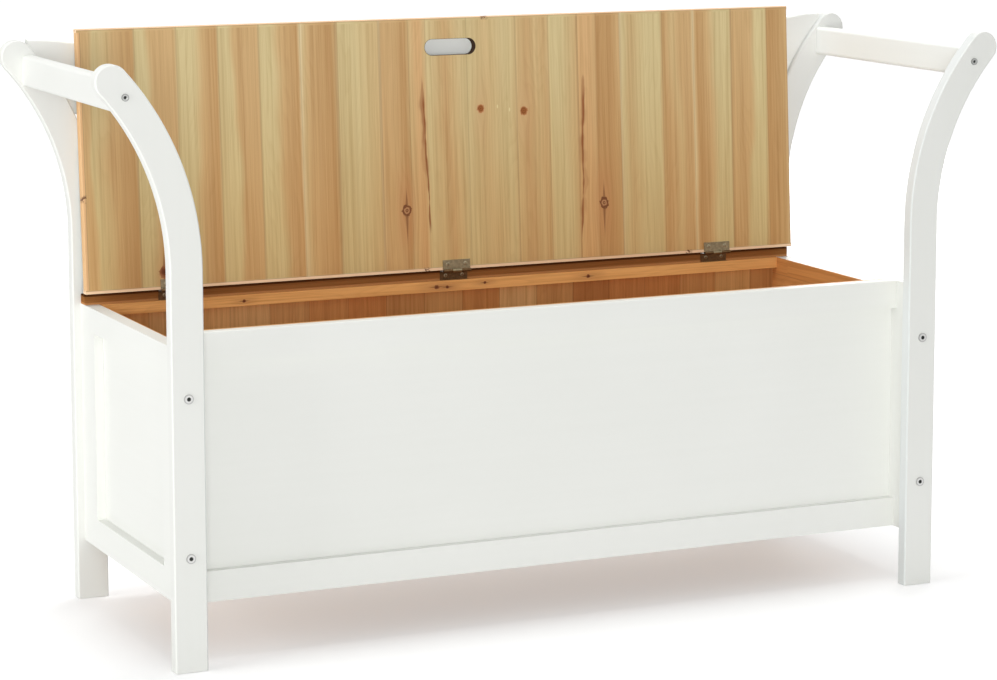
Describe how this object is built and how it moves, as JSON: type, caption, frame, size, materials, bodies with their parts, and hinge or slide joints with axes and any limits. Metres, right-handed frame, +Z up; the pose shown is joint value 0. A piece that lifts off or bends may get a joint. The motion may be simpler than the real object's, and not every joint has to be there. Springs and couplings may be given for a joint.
{
  "type": "storage bench",
  "caption": "White painted wooden storage bench with curved scroll posts, arm rails, a framed box and a natural wood lid that hinges up and back.",
  "frame": {"origin": "on the floor under the middle of the bench: the centre of the bounding box's bottom face", "axes": "+X to the right along the length as seen from the front, +Y from front to back, +Z up"},
  "size_m": [1.26, 0.424, 0.7628],
  "materials": {
    "white_wood": "satin white paint",
    "natural_wood": "clear matt",
    "zinc_steel": "zinc plated"
  },
  "bodies": {
    "bench": {"arm_bolts_back": "zinc_steel", "arm_bolts_front": "zinc_steel", "arm_rail_left": "white_wood", "arm_rail_right": "white_wood", "back_board": "white_wood", "back_cleat": "natural_wood", "back_post_left": "white_wood", "back_post_right": "white_wood", "crest_rail": "white_wood", "end_back_stile_left": "white_wood", "end_back_stile_right": "white_wood", "end_front_stile_left": "white_wood", "end_front_stile_right": "white_wood", "end_low_rail_left": "white_wood", "end_low_rail_right": "white_wood", "end_panel_left": "white_wood", "end_panel_right": "white_wood", "end_top_rail_left": "white_wood", "end_top_rail_right": "white_wood", "floor_board": "natural_wood", "floor_cleat_back": "natural_wood", "floor_cleat_front": "natural_wood", "floor_cleat_left": "natural_wood", "floor_cleat_right": "natural_wood", "front_low_rail": "white_wood", "front_panel": "white_wood", "front_post_left": "white_wood", "front_post_right": "white_wood", "front_top_rail": "white_wood", "hinge_fixed_leaf_left": "zinc_steel", "hinge_fixed_leaf_middle": "zinc_steel", "hinge_fixed_leaf_right": "zinc_steel", "hinge_pin_left": "zinc_steel", "hinge_pin_middle": "zinc_steel", "hinge_pin_right": "zinc_steel", "hinge_rail": "natural_wood", "post_bolts_back": "zinc_steel", "post_bolts_front": "zinc_steel"},
    "lid": {"hinge_lid_leaf_left": "zinc_steel", "hinge_lid_leaf_middle": "zinc_steel", "hinge_lid_leaf_right": "zinc_steel", "lid_lipping_front": "natural_wood", "lid_lipping_left": "natural_wood", "lid_lipping_rear": "natural_wood", "lid_lipping_right": "natural_wood", "lid_panel": "natural_wood"}
  },
  "joints": [
    {"name": "lid_hinge", "type": "hinge", "parent": "bench", "child": "lid", "pos_m": [0, 0.1612, 0.4144], "axis": [1, 0, 0], "range_deg": [0, 94.4]}
  ]
}
